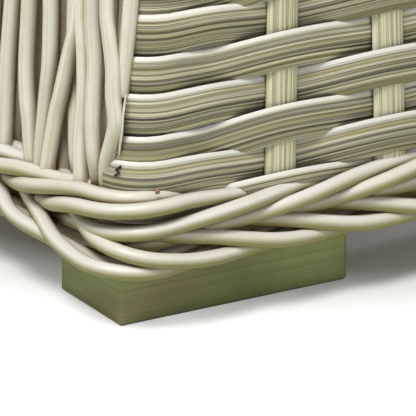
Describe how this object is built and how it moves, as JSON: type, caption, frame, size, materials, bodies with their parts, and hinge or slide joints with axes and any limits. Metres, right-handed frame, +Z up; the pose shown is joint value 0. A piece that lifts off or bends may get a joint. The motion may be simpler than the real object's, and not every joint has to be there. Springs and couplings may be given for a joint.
{
  "type": "garden obelisk",
  "caption": "Tapering four-sided garden obelisk: woven resin-wicker skirt and bands over a leaning tube frame on block feet, open trellis between, pyramid crown.",
  "frame": {"origin": "on the ground under the middle of the obelisk", "axes": "+Z up along the obelisk, +X to the right along the front face, -Y out of the front face"},
  "size_m": [0.4294, 0.4294, 1.4636],
  "materials": {
    "cane": "smooth extruded resin cane, satin",
    "weaver": "flat ribbed resin strand, two-tone streaks",
    "stake": "flat ribbed resin strip",
    "cast_metal": "brushed, dark anodised",
    "frame": "powder coated, cream",
    "fastener": "stainless"
  },
  "bodies": {
    "root": {"band_rail_back": "frame", "band_rail_front": "frame", "band_rail_left": "frame", "band_rail_right": "frame", "band_weave_back": "weaver", "band_weave_front": "weaver", "band_weave_left": "weaver", "band_weave_right": "weaver", "base_plait": "cane", "base_rail_back": "frame", "base_rail_front": "frame", "base_rail_left": "frame", "base_rail_right": "frame", "border_cap": "cane", "cap_weave_back": "weaver", "cap_weave_front": "weaver", "cap_weave_left": "weaver", "cap_weave_right": "weaver", "corner_canes_back_left": "cane", "corner_canes_back_right": "cane", "corner_canes_front_left": "cane", "corner_canes_front_right": "cane", "crown_plate": "cast_metal", "crown_screws": "fastener", "finial": "cast_metal", "finial_stud": "fastener", "foot_back_left": "cast_metal", "foot_back_right": "cast_metal", "foot_bolts": "fastener", "foot_front_left": "cast_metal", "foot_front_right": "cast_metal", "leg_canes_back_left": "cane", "leg_canes_back_right": "cane", "leg_canes_front_left": "cane", "leg_canes_front_right": "cane", "post_back_left": "frame", "post_back_right": "frame", "post_foot_inserts": "fastener", "post_front_left": "frame", "post_front_right": "frame", "post_top_inserts": "fastener", "pyramid": "cast_metal", "screen_front_left": "cane", "screen_front_right": "cane", "screen_rear_left": "cane", "screen_rear_right": "cane", "skirt_border": "cane", "skirt_rail_back": "frame", "skirt_rail_front": "frame", "skirt_rail_left": "frame", "skirt_rail_right": "frame", "skirt_weave_back": "weaver", "skirt_weave_front": "weaver", "stakes_back": "stake", "stakes_front": "stake", "uprights_back": "cane", "uprights_front": "cane", "uprights_left": "cane", "uprights_right": "cane"}
  },
  "joints": []
}
